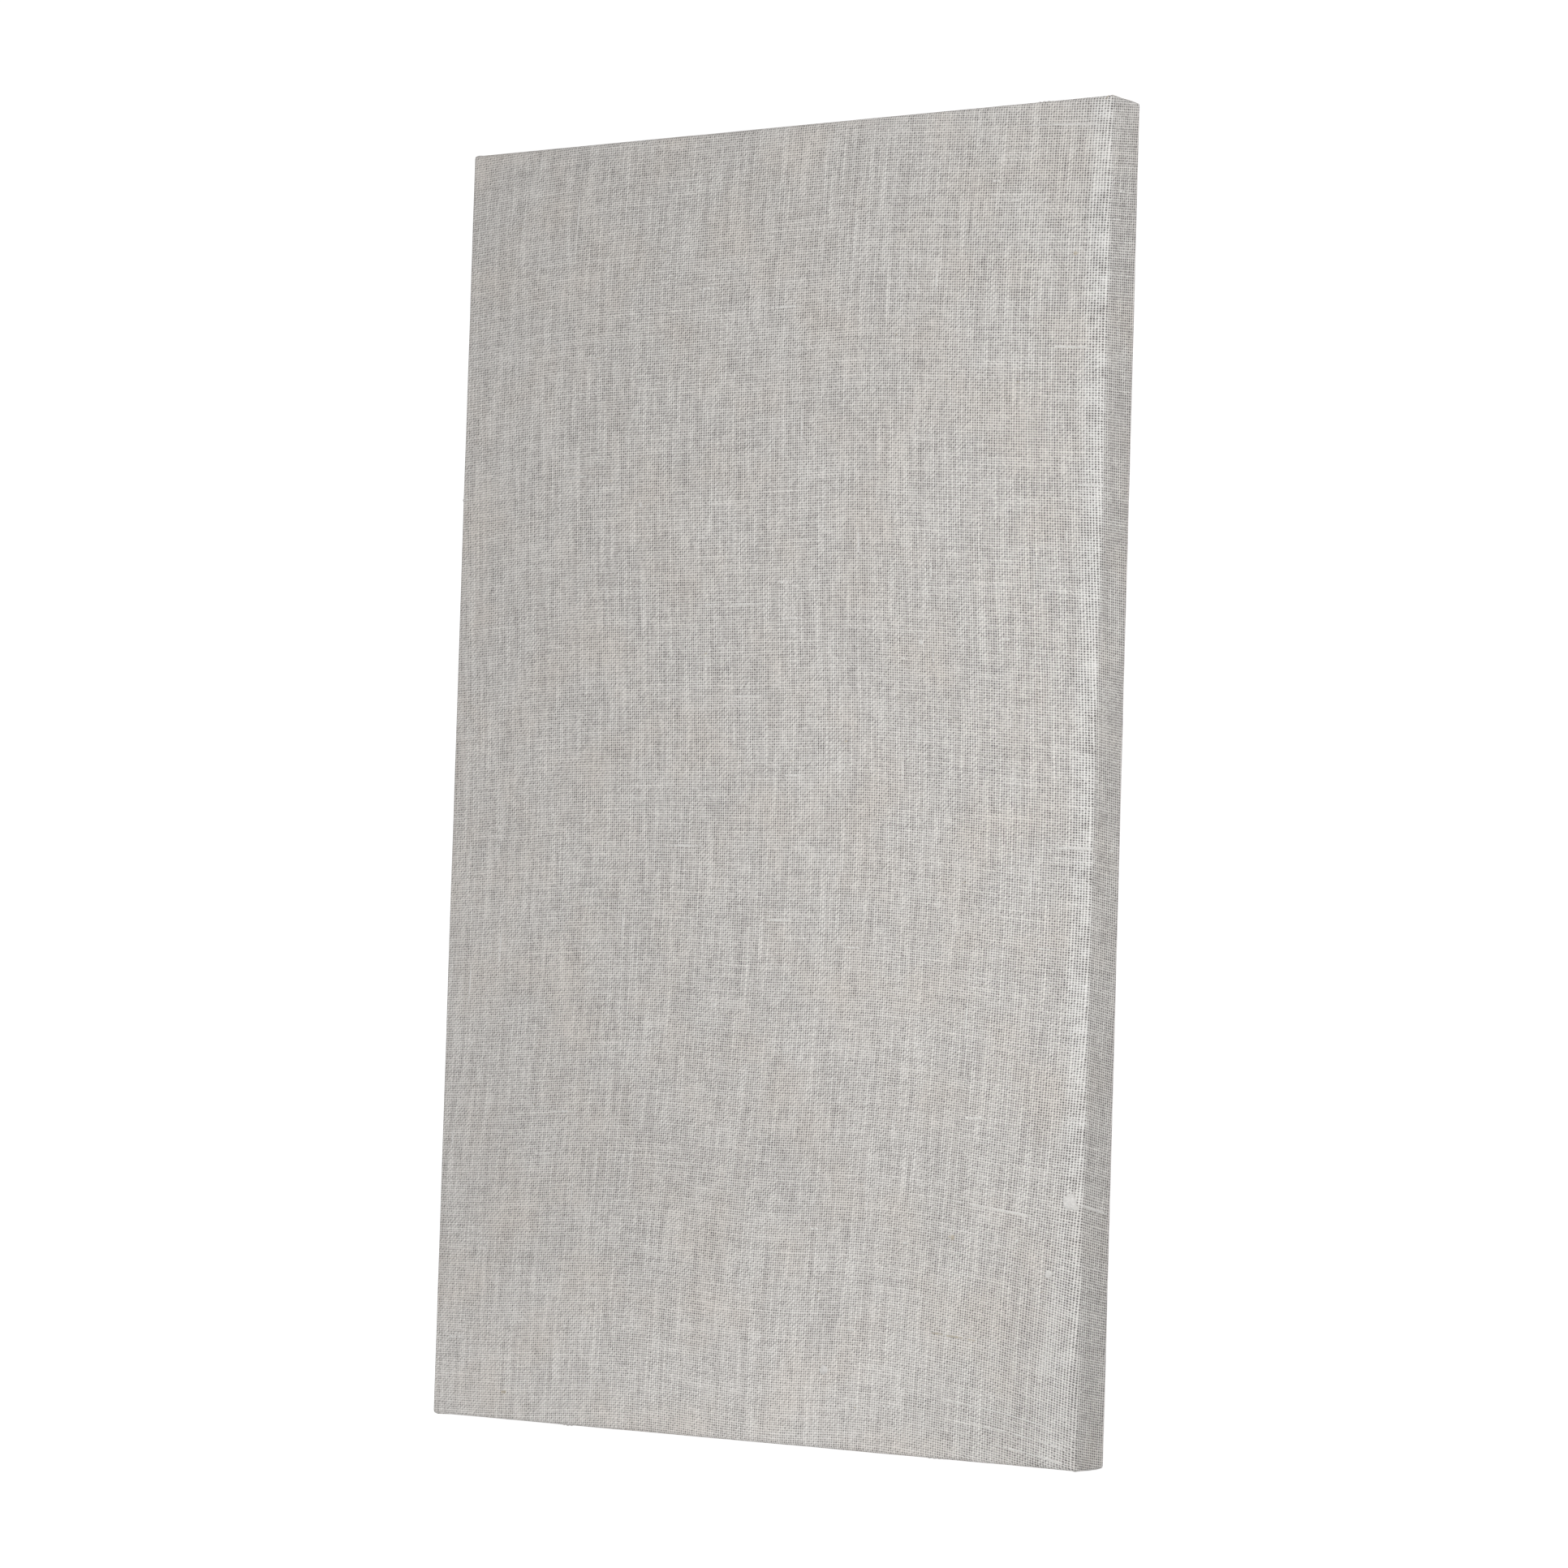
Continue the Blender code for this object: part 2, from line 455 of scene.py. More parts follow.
# Painted shade: the holes between the yarns show the wool behind them in shadow, painted as one dark grey
HOLE_SHADE_COLOUR = (0.125, 0.115, 0.11, 1.0)
WARP_HALF = 0.375
WEFT_HALF = 0.28
TWIST_TURNS = 5.0
TWIST_SLANT = 9.0
LEAN = 0.034
SLIDE = 0.5
SLIDE_NEAR = 0.08
THICKER_LONG = 0.18
THICKER_SHORT = 0.12
THICKER_GROUP = 0.19
THICKER_SLUB = 0.08
ONE_YARN = 1 / 17.31
UNEVEN_HOLES = 0.10
HOLE_DEPTH = 3.0
YARN_LIFT = 0.5
YARN_ROUNDNESS = 0.7
KNOP_TONE = 0.14
FIBRE_TONE = 0.9
PATCH_TONE = 0.08
FULLER_YARN = 0.03
# Painted highlight low down and to the left
LOW_LEFT_PAINTED_LIGHT = 0.10
TOP_EDGE_FULLER = 0.02
WARM_SHARE = 0.45
WEAVE_RELIEF = 0.0005
WEAVE_RELIEF_STRENGTH = 0.7
FIBRE_RELIEF = 0.35
CLOTH_SHEEN = 0.15
CLOTH_ROUGHNESS = 0.92


def uneven(tree, number, distance, width, run, seed, detail=1.0):
    """Noise round zero that is as wide as some yarns and runs along them for a length counted in yarns."""
    point = tree.nodes.new("ShaderNodeCombineXYZ")
    join(tree, reckon(tree, "MULTIPLY_ADD", number, 1.0 / width, seed), point.inputs["X"])
    join(tree, reckon(tree, "DIVIDE", distance, run), point.inputs["Y"])
    node = tree.nodes.new("ShaderNodeTexNoise")
    node.noise_dimensions = "2D"
    node.inputs["Scale"].default_value = 1.0
    node.inputs["Detail"].default_value = detail
    join(tree, point.outputs[0], node.inputs["Vector"])
    return reckon(tree, "SUBTRACT", node.outputs["Fac"], 0.5)


def spin_yarn(tree, number, distance, half, looseness, unevenness, seed):
    """One set of yarns: which yarn is here, how far off its middle, its round section and its tone."""
    slid = uneven(tree, number, distance, 4.5, 35.0, seed)
    slid_near = uneven(tree, number, distance, 1.6, 10.0, seed + 31.7)
    shifted = reckon(tree, "MULTIPLY_ADD", slid, SLIDE * looseness, number)
    shifted = reckon(tree, "MULTIPLY_ADD", slid_near, SLIDE_NEAR * looseness, shifted)
    which = reckon(tree, "FLOOR", shifted)
    offset = reckon(tree, "SUBTRACT", reckon(tree, "SUBTRACT", shifted, which), 0.5)
    long_run = uneven(tree, which, distance, ONE_YARN, 30.0, seed + 5.3)
    short_run = uneven(tree, which, distance, ONE_YARN, 5.0, seed + 9.9)
    group = uneven(tree, number, distance, 3.2, 20.0, seed + 13.3)
    half_here = reckon(tree, "MULTIPLY_ADD", long_run, THICKER_LONG * unevenness, half)
    half_here = reckon(tree, "MULTIPLY_ADD", short_run, THICKER_SHORT, half_here)
    half_here = reckon(tree, "MULTIPLY_ADD", group, THICKER_GROUP * unevenness, half_here)
    slub = ramp(tree, long_run, 0.17, 0.3, 0.0, THICKER_SLUB)
    half_here = reckon(tree, "ADD", half_here, slub)
    tone = uneven(tree, which, distance, ONE_YARN, 45.0, seed + 3.1)
    tone = reckon(tree, "ADD", tone, reckon(tree, "MULTIPLY", long_run, 0.5))
    return which, offset, half_here, reckon(tree, "MULTIPLY", tone, unevenness)


def twist(tree, offset, distance, seed):
    """The fibres of a spun yarn, which run round it at a slant: fine light and dark lines."""
    point = tree.nodes.new("ShaderNodeCombineXYZ")
    slant = reckon(tree, "MULTIPLY", offset, TWIST_SLANT)
    join(tree, reckon(tree, "MULTIPLY_ADD", distance, TWIST_TURNS, slant), point.inputs["X"])
    join(tree, reckon(tree, "MULTIPLY_ADD", offset, 1.5, seed), point.inputs["Y"])
    node = tree.nodes.new("ShaderNodeTexNoise")
    node.noise_dimensions = "2D"
    node.inputs["Scale"].default_value = 1.0
    node.inputs["Detail"].default_value = 2.0
    join(tree, point.outputs[0], node.inputs["Vector"])
    return reckon(tree, "SUBTRACT", node.outputs["Fac"], 0.5)


def round_section(tree, offset, half):
    """Height of a round yarn across its width, zero beside it."""
    share = reckon(tree, "DIVIDE", offset, half)
    square = reckon(tree, "SUBTRACT", 1.0, reckon(tree, "MULTIPLY", share, share))
    return reckon(tree, "SQRT", reckon(tree, "MAXIMUM", square, 0.0))


def gap_number(tree, which, offset):
    """The number of the gap between two yarns that a spot is nearest to."""
    return reckon(tree, "FLOOR", reckon(tree, "ADD", reckon(tree, "ADD", which, offset), 1.0))


def riding(tree, over, offset):
    """How far a yarn is lifted where it rides over the others, or lowered where it dips under them."""
    return reckon(tree, "MULTIPLY", over, reckon(tree, "COSINE", reckon(tree, "MULTIPLY", offset, pi)))


linen, tree, shader = new_material("undyed_plain_weave", YARN_PALE, CLOTH_ROUGHNESS)
weave_point = tree.nodes.new("ShaderNodeUVMap")
weave_point.uv_map = "weave"
split = tree.nodes.new("ShaderNodeSeparateXYZ")
join(tree, weave_point.outputs[0], split.inputs[0])
warp_at = split.outputs["X"]
weft_at = split.outputs["Y"]
opened = tree.nodes.new("ShaderNodeAttribute")
opened.attribute_name = "pulled_open"
opened = opened.outputs["Fac"]
patch = uneven(tree, warp_at, weft_at, 9.0, 7.0, 3.7, 2.0)
patch_near = uneven(tree, warp_at, weft_at, 2.6, 2.4, 8.3)
closeness = reckon(tree, "MULTIPLY_ADD", patch, 0.07, reckon(tree, "MULTIPLY", patch_near, 0.10))
strained = tree.nodes.new("ShaderNodeAttribute")
strained.attribute_name = "strained_edge"
strained = reckon(tree, "MULTIPLY", strained.outputs["Fac"], ramp(tree, weft_at, -250.0, -60.0, 0.4, 1.0))
crowded = uneven(tree, warp_at, weft_at, 12.0, 8.0, 41.9, 2.0)
closeness = reckon(tree, "MULTIPLY_ADD", reckon(tree, "MULTIPLY", strained, crowded), 0.25, closeness)

# Low down and to the left the yarns are a little fuller, and so are those along the top edge. Low down and
# to the left the colour is also painted lighter, a painted highlight
fuller_and_painted_light = ramp(tree, weft_at, -285.0, -165.0, 1.0, 0.0)
fuller_and_painted_light = reckon(tree, "MULTIPLY", fuller_and_painted_light, ramp(tree, warp_at, 40.0, 150.0, 1.0, 0.0))
closeness = reckon(tree, "MULTIPLY_ADD", fuller_and_painted_light, FULLER_YARN, closeness)
closeness = reckon(tree, "ADD", closeness, ramp(tree, weft_at, 259.5, 264.5, 0.0, TOP_EDGE_FULLER))
warp, warp_off, warp_half, warp_tone = spin_yarn(tree, warp_at, weft_at, WARP_HALF, 1.0, 1.0, 0.0)
weft, weft_off, weft_half, weft_tone = spin_yarn(tree, weft_at, warp_at, WEFT_HALF, 0.9, 0.6, 71.3)
odd = reckon(tree, "PINGPONG", reckon(tree, "ADD", warp, weft), 1.0)
warp_over = reckon(tree, "MULTIPLY_ADD", odd, -2.0, 1.0)

# The twist leans each yarn where it rides over another, so that every second hole is smaller
lean = reckon(tree, "SINE", reckon(tree, "MULTIPLY", weft_off, pi))
lean = reckon(tree, "MULTIPLY", lean, reckon(tree, "SINE", reckon(tree, "MULTIPLY", warp_off, pi)))
lean = reckon(tree, "MULTIPLY", lean, warp_over)
closeness = reckon(tree, "MULTIPLY_ADD", lean, LEAN, closeness)
hole = tree.nodes.new("ShaderNodeCombineXYZ")
join(tree, gap_number(tree, warp, warp_off), hole.inputs["X"])
join(tree, gap_number(tree, weft, weft_off), hole.inputs["Y"])
chance = tree.nodes.new("ShaderNodeTexWhiteNoise")
chance.noise_dimensions = "2D"
join(tree, hole.outputs[0], chance.inputs["Vector"])
closeness = reckon(tree, "SUBTRACT", closeness, UNEVEN_HOLES / 2)
closeness = reckon(tree, "MULTIPLY_ADD", chance.outputs["Value"], UNEVEN_HOLES, closeness)
warp_half = reckon(tree, "DIVIDE", reckon(tree, "ADD", warp_half, closeness), opened)
weft_half = reckon(tree, "ADD", weft_half, closeness)
warp_round = round_section(tree, warp_off, warp_half)
weft_round = round_section(tree, weft_off, weft_half)
warp_lift = riding(tree, warp_over, weft_off)
weft_lift = riding(tree, warp_over, warp_off)
warp_there = reckon(tree, "GREATER_THAN", warp_round, 0.0)
weft_there = reckon(tree, "GREATER_THAN", weft_round, 0.0)
warp_body = reckon(tree, "MULTIPLY", warp_round, YARN_ROUNDNESS)
weft_body = reckon(tree, "MULTIPLY", weft_round, YARN_ROUNDNESS)
warp_height = reckon(tree, "MULTIPLY_ADD", warp_lift, YARN_LIFT, warp_body)
weft_height = reckon(tree, "MULTIPLY_ADD", weft_lift, -YARN_LIFT, weft_body)
warp_missing = reckon(tree, "MULTIPLY_ADD", warp_there, -HOLE_DEPTH, HOLE_DEPTH)
weft_missing = reckon(tree, "MULTIPLY_ADD", weft_there, -HOLE_DEPTH, HOLE_DEPTH)
warp_height = reckon(tree, "SUBTRACT", warp_height, warp_missing)
weft_height = reckon(tree, "SUBTRACT", weft_height, weft_missing)
top = reckon(tree, "MAXIMUM", warp_height, weft_height)
warp_on_top = reckon(tree, "GREATER_THAN", warp_height, weft_height)
cloth_there = reckon(tree, "MAXIMUM", warp_there, weft_there)
crossing = tree.nodes.new("ShaderNodeCombineXYZ")
join(tree, warp, crossing.inputs["X"])
join(tree, weft, crossing.inputs["Y"])
knop = tree.nodes.new("ShaderNodeTexWhiteNoise")
knop.noise_dimensions = "2D"
join(tree, crossing.outputs[0], knop.inputs["Vector"])
tone = tree.nodes.new("ShaderNodeMix")
tone.data_type = "FLOAT"
join(tree, warp_on_top, tone.inputs[0])
join(tree, weft_tone, tone.inputs[2])
join(tree, warp_tone, tone.inputs[3])
fibre = tree.nodes.new("ShaderNodeMix")
fibre.data_type = "FLOAT"
join(tree, warp_on_top, fibre.inputs[0])
join(tree, twist(tree, weft_off, warp_at, 2.7), fibre.inputs[2])
join(tree, twist(tree, warp_off, weft_at, 6.1), fibre.inputs[3])
fibre = fibre.outputs[0]
knop_tone = reckon(tree, "SUBTRACT", knop.outputs["Value"], 0.5)
tone = reckon(tree, "MULTIPLY_ADD", knop_tone, KNOP_TONE, tone.outputs[0])
tone = reckon(tree, "MULTIPLY_ADD", fibre, FIBRE_TONE, tone)
tone = reckon(tree, "MULTIPLY_ADD", patch, PATCH_TONE, tone)
yarn_colour = blend_colour(tree, ramp(tree, tone, -0.28, 0.28, 0.0, 1.0), YARN_DEEP, YARN_PALE)
warm = ramp(tree, cloud(tree, weave_point.outputs[0], 0.03, 3.0), 0.4, 0.75, 0.0, WARM_SHARE)
yarn_colour = blend_colour(tree, warm, yarn_colour, YARN_WARM)
# The yarns in the strip beside the right edge are coloured paler, in patches
paler_strip = reckon(tree, "MULTIPLY", strained, reckon(tree, "MULTIPLY_ADD", crowded, 0.6, 0.5))
yarn_colour = blend_colour(tree, paler_strip, yarn_colour, YARN_STRIP_PALE)

# Painted shade and painted highlight by the height of the weave: the colour is darker down between and
# under the yarns and lighter on their tops, and this painted contrast is a little stronger towards the left
low_shade = ramp(tree, warp_at, -150.0, 150.0, 0.37, 0.44)
high_shade = ramp(tree, warp_at, -150.0, 150.0, 1.19, 1.13)
depth = ramp(tree, top, -0.4, 1.25, low_shade, high_shade)
# Painted highlight: low down and to the left the colour of the weave is lifted a little
depth = reckon(tree, "MULTIPLY", depth, reckon(tree, "MULTIPLY_ADD", fuller_and_painted_light, LOW_LEFT_PAINTED_LIGHT, 1.0))
shaded = tree.nodes.new("ShaderNodeMix")
shaded.data_type = "RGBA"
shaded.blend_type = "MULTIPLY"
shaded.inputs[0].default_value = 1.0
join(tree, yarn_colour, shaded.inputs[6])
join(tree, depth, shaded.inputs[7])
# The holes between the yarns take the painted shade colour, the wool behind them in shadow
join(tree, blend_colour(tree, cloth_there, HOLE_SHADE_COLOUR, shaded.outputs[2]), shader.inputs["Base Color"])
relief = reckon(tree, "MULTIPLY_ADD", fibre, FIBRE_RELIEF, reckon(tree, "MAXIMUM", top, -0.6))
add_bump(tree, shader, relief, WEAVE_RELIEF, WEAVE_RELIEF_STRENGTH)
shader.inputs["Sheen Weight"].default_value = CLOTH_SHEEN
shader.inputs["Sheen Roughness"].default_value = 0.6

cloth.data.materials.clear()
cloth.data.materials.append(linen)
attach(cloth, "root")
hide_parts("fabric_cover")


# Corner pleats
# The spare cloth at each corner, an ear folded flat and glued against the short edge. It starts narrow at
# the front and widens towards the back, and its threads run the other way round from those that it lies on.
PLEAT_WIDTH = 0.022
PLEAT_TIP_SHARE = 0.06
PLEAT_HOLLOW = 0.05
PLEAT_LIFT = 0.0016
PLEAT_LIFT_TIP = 0.45
PLEAT_UNEVEN = 0.00012
PLEAT_WALL = 0.0003
PLEAT_SINK = 0.00015
PLEAT_ROWS = 14
PLEAT_COLUMNS = (0.0, 0.10, 0.25, 0.45, 0.70, 0.88, 0.95, 0.985, 1.0)
PLEAT_RISE = (-0.14, 0.45, 0.85, 1.0, 0.95, 1.0, 0.82, 0.45, -0.14)
PLEAT_THREAD = 0.0019
PLEAT_FIRST_WARP = 160.0
PLEAT_FIRST_WEFT = 262.0


def fold_pleat(column, row, side_x, side_y):
    """Where one point of an ear lies: its column runs to the folded edge, and its row runs to the back."""
    down = row / PLEAT_ROWS
    widening = PLEAT_TIP_SHARE + (1 - PLEAT_TIP_SHARE) * down
    reach = PLEAT_WIDTH * widening * (1 - PLEAT_HOLLOW * sin(pi * down))
    out = FRONT_ARC * 0.75 + (SIDE_DEPTH + FRONT_ARC * 0.25 + BACK_ARC * 0.3) * down
    across = PANEL_WIDTH / 2 - CORNER_RADIUS * 0.6 - reach * PLEAT_COLUMNS[column]
    y, z = wrapped(FLAT_HALF_HEIGHT + out, FLAT_HALF_HEIGHT)
    lifting = PLEAT_LIFT_TIP + (1 - PLEAT_LIFT_TIP) * down
    rise = PLEAT_LIFT * PLEAT_RISE[column] * lifting + PLEAT_UNEVEN * sin(9.0 * down + column)
    if row == 0:
        rise = -PLEAT_SINK
    return side_x * across, side_y * (y + max(rise, -PLEAT_SINK)), z


pleats = []
for side_x in (-1, 1):
    for side_y in (-1, 1):
        bpy.ops.object.select_all(action="DESELECT")
        bpy.ops.mesh.primitive_grid_add(
            x_subdivisions=len(PLEAT_COLUMNS) - 1,
            y_subdivisions=PLEAT_ROWS,
            size=1.0,
            calc_uvs=False,
        )
        pleat = bpy.context.object
        pleat.name = f"corner_pleat_{len(pleats) + 1}"
        grid_places = []
        for vertex in pleat.data.vertices:
            column = round((vertex.co.x + 0.5) * (len(PLEAT_COLUMNS) - 1))
            row = round((0.5 - vertex.co.y) * PLEAT_ROWS)
            vertex.co = fold_pleat(column, row, side_x, side_y)
            grid_places.append((vertex.co.z, abs(vertex.co.x)))
        weave_map = pleat.data.uv_layers.new(name="weave")
        for corner in pleat.data.loops:
            height, across = grid_places[corner.vertex_index]
            warp_place = side_x * (PLEAT_FIRST_WARP - height / PLEAT_THREAD)
            weft_place = side_y * (PLEAT_FIRST_WEFT + across / PLEAT_THREAD)
            weave_map.data[corner.index].uv = (warp_place, weft_place)
        pulled_open = pleat.data.attributes.new("pulled_open", "FLOAT", "POINT")
        for share in pulled_open.data:
            share.value = 1.0
        bpy.ops.object.mode_set(mode="EDIT")
        bpy.ops.mesh.select_all(action="SELECT")
        if side_x * side_y < 0:
            bpy.ops.mesh.flip_normals()
        bpy.ops.object.mode_set(mode="OBJECT")
        wall = pleat.modifiers.new("wall", "SOLIDIFY")
        wall.thickness = PLEAT_WALL
        wall.offset = -1.0
        bpy.ops.object.modifier_apply(modifier="wall")
        bpy.ops.object.shade_smooth()
        pleat.data.materials.append(linen)
        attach(pleat, "root")
        pleats.append(pleat)


# Slubs
# Thick soft places where the undyed yarn was spun unevenly. Most are in the wefts. Each is part of its
# yarn, so it follows the thread line and swells up between the threads that cross it.
SLUB_SIDES = 8
SLUB_RINGS = 40
SLUB_COUNT = 84
SLUB_HALF_HEIGHT = 0.0004
SLUB_RISE = -0.00002
SLUB_WAVER = 0.00038
WAVER_LENGTH = 0.0041
SLUB_SWELLS = 9
SLUB_REACH_X = 0.336
SLUB_REACH_Y = 0.536
FACE_REACH_X = 0.290
FACE_REACH_Y = 0.490
WEFT_SLUB_SHARE = 0.72
SLUB_SPREAD_X = 0.335
SLUB_SPREAD_Y = 0.535
SLUB_SHORTEST = 0.005
SLUB_LONGER = 0.032
SLUB_NARROWEST = 0.00065
SLUB_WIDEST = 0.00105
FIRST_RANDOM_SLUB = 100
SLUB_PALE = (0.715, 0.70, 0.68, 1.0)
SLUB_DEEP = (0.62, 0.60, 0.58, 1.0)


def thread_line(start, end, along_weft, count=60):
    """Places on the flat cloth from one spot to another along a thread, which is a weft or a warp."""
    places = []
    for step in range(count + 1):
        share = step / count
        if along_weft:
            x = start[0] + (end[0] - start[0]) * share
            y = start[1] + weft_hang(x, start[1]) - weft_hang(start[0], start[1])
            y += share * (end[1] - start[1] - weft_hang(end[0], start[1]) + weft_hang(start[0], start[1]))
        else:
            y = start[1] + (end[1] - start[1]) * share
            x = start[0] + warp_drift(y) - warp_drift(start[1])
            x += share * (end[0] - start[0] - warp_drift(end[1]) + warp_drift(start[1]))
        places.append((x, y))
    return places


def surface_at(place):
    """The outer surface of the folded cloth at a place on the flat cloth, and the way that it faces."""
    start = Vector(fold(place))
    where, facing, _, _ = cloth_tree.find_nearest(start)
    if facing.dot(start - Vector((start.x * 0.8, start.y * 0.8, PANEL_THICKNESS / 2))) < 0:
        facing = -facing
    return where, facing


def lay_yarn(spindle, places, half_width, half_height, rise, waver, seed):
    """Copy the straight spindle and bend the copy along a thread line, half sunk in the cloth."""
    chance = random.Random(seed)
    spots = [surface_at(place) for place in places]
    piece = spindle.copy()
    piece.data = spindle.data.copy()
    bpy.context.collection.objects.link(piece)
    swell = [0.8 + 0.4 * chance.random() for _ in range(SLUB_SWELLS)]
    phase = chance.random() * 2 * pi
    length = sum(dist(a, b) for a, b in zip(places, places[1:]))
    for vertex in piece.data.vertices:
        share = (vertex.co.x + 1) / 2
        number = min(share * (len(spots) - 1), len(spots) - 1.001)
        before = int(number)
        part = number - before
        where = spots[before][0].lerp(spots[before + 1][0], part)
        facing = spots[before][1].lerp(spots[before + 1][1], part).normalized()
        ahead = (spots[before + 1][0] - spots[before][0]).normalized()
        sideways = facing.cross(ahead).normalized()
        thick = np.interp(share * (SLUB_SWELLS - 1), range(SLUB_SWELLS), swell)
        wave = waver * sin(2 * pi * share * length / WAVER_LENGTH + phase)
        lift = rise + wave + vertex.co.z * half_height * thick
        vertex.co = where + sideways * (vertex.co.y * half_width * thick) + facing * lift
    return piece


cloth_tree = BVHTree.FromPolygons(
    [vertex.co for vertex in cloth.data.vertices],
    [list(face.vertices) for face in cloth.data.polygons],
)

bpy.ops.object.select_all(action="DESELECT")
bpy.ops.mesh.primitive_uv_sphere_add(segments=SLUB_SIDES, ring_count=SLUB_RINGS, radius=1.0)
spindle = bpy.context.object
bpy.ops.object.mode_set(mode="EDIT")
bpy.ops.mesh.select_all(action="SELECT")
bpy.ops.transform.rotate(value=pi / 2, orient_axis="Y", center_override=(0.0, 0.0, 0.0))
bpy.ops.object.mode_set(mode="OBJECT")

# The thick places that stand out: where each starts and ends on the flat cloth, and its half width
CLEAR_SLUBS = (
    ((0.1955, -0.2496), (0.2140, -0.2491), 0.0011),
    ((0.2690, -0.0505), (0.3010, -0.0507), 0.0010),
    ((0.2850, -0.0510), (0.3005, -0.0512), 0.0014),
    ((0.3110, 0.4306), (0.3215, 0.4321), 0.0010),
    ((0.3220, -0.3105), (0.3330, -0.3119), 0.0009),
    ((0.1782, -0.3094), (0.2967, -0.3233), 0.0007),
    ((0.2945, -0.3080), (0.3360, -0.3160), 0.0010),
    ((0.2074, -0.4716), (0.2960, -0.4860), 0.0007),
    ((0.1820, -0.4560), (0.2930, -0.4735), 0.0006),
    ((0.2250, -0.4855), (0.2960, -0.4962), 0.0007),
    ((0.2150, 0.4838), (0.2950, 0.4790), 0.0006),
)
slubs = []
for number, (start, end, half_width) in enumerate(CLEAR_SLUBS):
    places = thread_line(start, end, True)
    slubs.append(lay_yarn(spindle, places, half_width, SLUB_HALF_HEIGHT, SLUB_RISE, SLUB_WAVER, number))
chance = random.Random(11)
while len(slubs) < SLUB_COUNT:
    start_x = chance.uniform(-SLUB_SPREAD_X, SLUB_SPREAD_X)
    start = (start_x, chance.uniform(-SLUB_SPREAD_Y, SLUB_SPREAD_Y))
    length = SLUB_SHORTEST + SLUB_LONGER * chance.random() ** 2
    along_weft = chance.random() < WEFT_SLUB_SHARE
    end = (start[0] + length, start[1]) if along_weft else (start[0], start[1] + length)
    half_width = chance.uniform(SLUB_NARROWEST, SLUB_WIDEST)
    reach_x = max(abs(start[0]), abs(end[0]))
    reach_y = max(abs(start[1]), abs(end[1]))
    if reach_x > FACE_REACH_X and reach_y > FACE_REACH_Y:
        continue
    if reach_x > SLUB_REACH_X or reach_y > SLUB_REACH_Y:
        continue
    if along_weft:
        end = (end[0], start[1] + weft_hang(end[0], start[1]) - weft_hang(start[0], start[1]))
    else:
        end = (start[0] + warp_drift(end[1]) - warp_drift(start[1]), end[1])
    places = thread_line(start, end, along_weft)
    seed = FIRST_RANDOM_SLUB + len(slubs)
    slubs.append(lay_yarn(spindle, places, half_width, SLUB_HALF_HEIGHT, SLUB_RISE, SLUB_WAVER, seed))


def fibrous(name, pale, deep):
    """Loose undyed fibre: pale and deeper strands, softly matted, with a faint bloom."""
    material, tree, shader = new_material(name, pale, 0.95)
    place = tree.nodes.new("ShaderNodeTexCoord").outputs["Object"]
    strands = cloud(tree, place, 1500.0, 3.0, (0.25, 1.0, 1.0))
    clumps = cloud(tree, place, 240.0, 2.0)
    shade = reckon(tree, "MULTIPLY_ADD", strands, 0.6, reckon(tree, "MULTIPLY", clumps, 0.4))
    shade = ramp(tree, shade, 0.36, 0.56, 0.0, 1.0)
    join(tree, blend_colour(tree, shade, deep, pale), shader.inputs["Base Color"])
    add_bump(tree, shader, strands, 0.0003, 0.8)
    shader.inputs["Sheen Weight"].default_value = 0.2
    shader.inputs["Sheen Roughness"].default_value = 0.6
    return material


def join_pieces(pieces, name, material):
    """Make one piece of several like ones, with its place in its mesh."""
    bpy.ops.object.select_all(action="DESELECT")
    for part in pieces:
        part.select_set(True)
    bpy.context.view_layer.objects.active = pieces[0]
    bpy.ops.object.join()
    piece = bpy.context.object
    piece.name = name
    bpy.ops.object.mode_set(mode="EDIT")
    bpy.ops.mesh.select_all(action="SELECT")
    bpy.ops.mesh.normals_make_consistent(inside=False)
    bpy.ops.object.mode_set(mode="OBJECT")
    bpy.ops.object.shade_smooth()
    piece.data.materials.clear()
    piece.data.materials.append(material)
    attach(piece, "root")
    return piece


soft_fibre = fibrous("soft_undyed_fibre", SLUB_PALE, SLUB_DEEP)
slub_yarns = join_pieces(slubs, "slub_yarns", soft_fibre)


# Bark specks and loose ends
# Bits of plant bark and darker yarn ends that were spun or woven in. They are small, beige to brown, and
# lie flat, apart from one short end that stands off at the top right corner.
SPECK_COUNT = 26
SPECK_SPREAD_X = 0.285
SPECK_SPREAD_Y = 0.485
SPECK_SHORTEST = 0.0012
SPECK_LONGEST = 0.0032
SPECK_SLANT = 0.0008
SPECK_NARROWEST = 0.0003
SPECK_WIDEST = 0.0006
FIRST_SPECK = 300
CLEAR_SPECK_HEIGHT = 0.00035
CLEAR_SPECK_WAVER = 0.00028
SPECK_HEIGHT = 0.0003
SPECK_RISE = 0.0001
SPECK_WAVER = 0.00003
BARK_PALE = (0.52, 0.465, 0.385, 1.0)
BARK_DEEP = (0.38, 0.34, 0.285, 1.0)
LOOSE_END = ((0.2945, 0.4970), (0.2985, 0.4992))
LOOSE_END_RADIUS = 0.00035
LOOSE_END_SEED = 390
LOOSE_FROM = 0.2955
LOOSE_RISE = 0.6
CLEAR_SPECKS = (
    ((0.1855, -0.3370), (0.1910, -0.3376), 0.0020),
    ((0.2706, 0.3851), (0.2750, 0.3852), 0.0016),
    ((-0.2308, -0.4787), (-0.2262, -0.4786), 0.0016),
    ((0.1723, -0.4080), (0.1830, -0.4088), 0.0006),
    ((0.1850, -0.4093), (0.2010, -0.4104), 0.0007),
    ((0.2040, -0.4108), (0.2120, -0.4116), 0.0005),
)
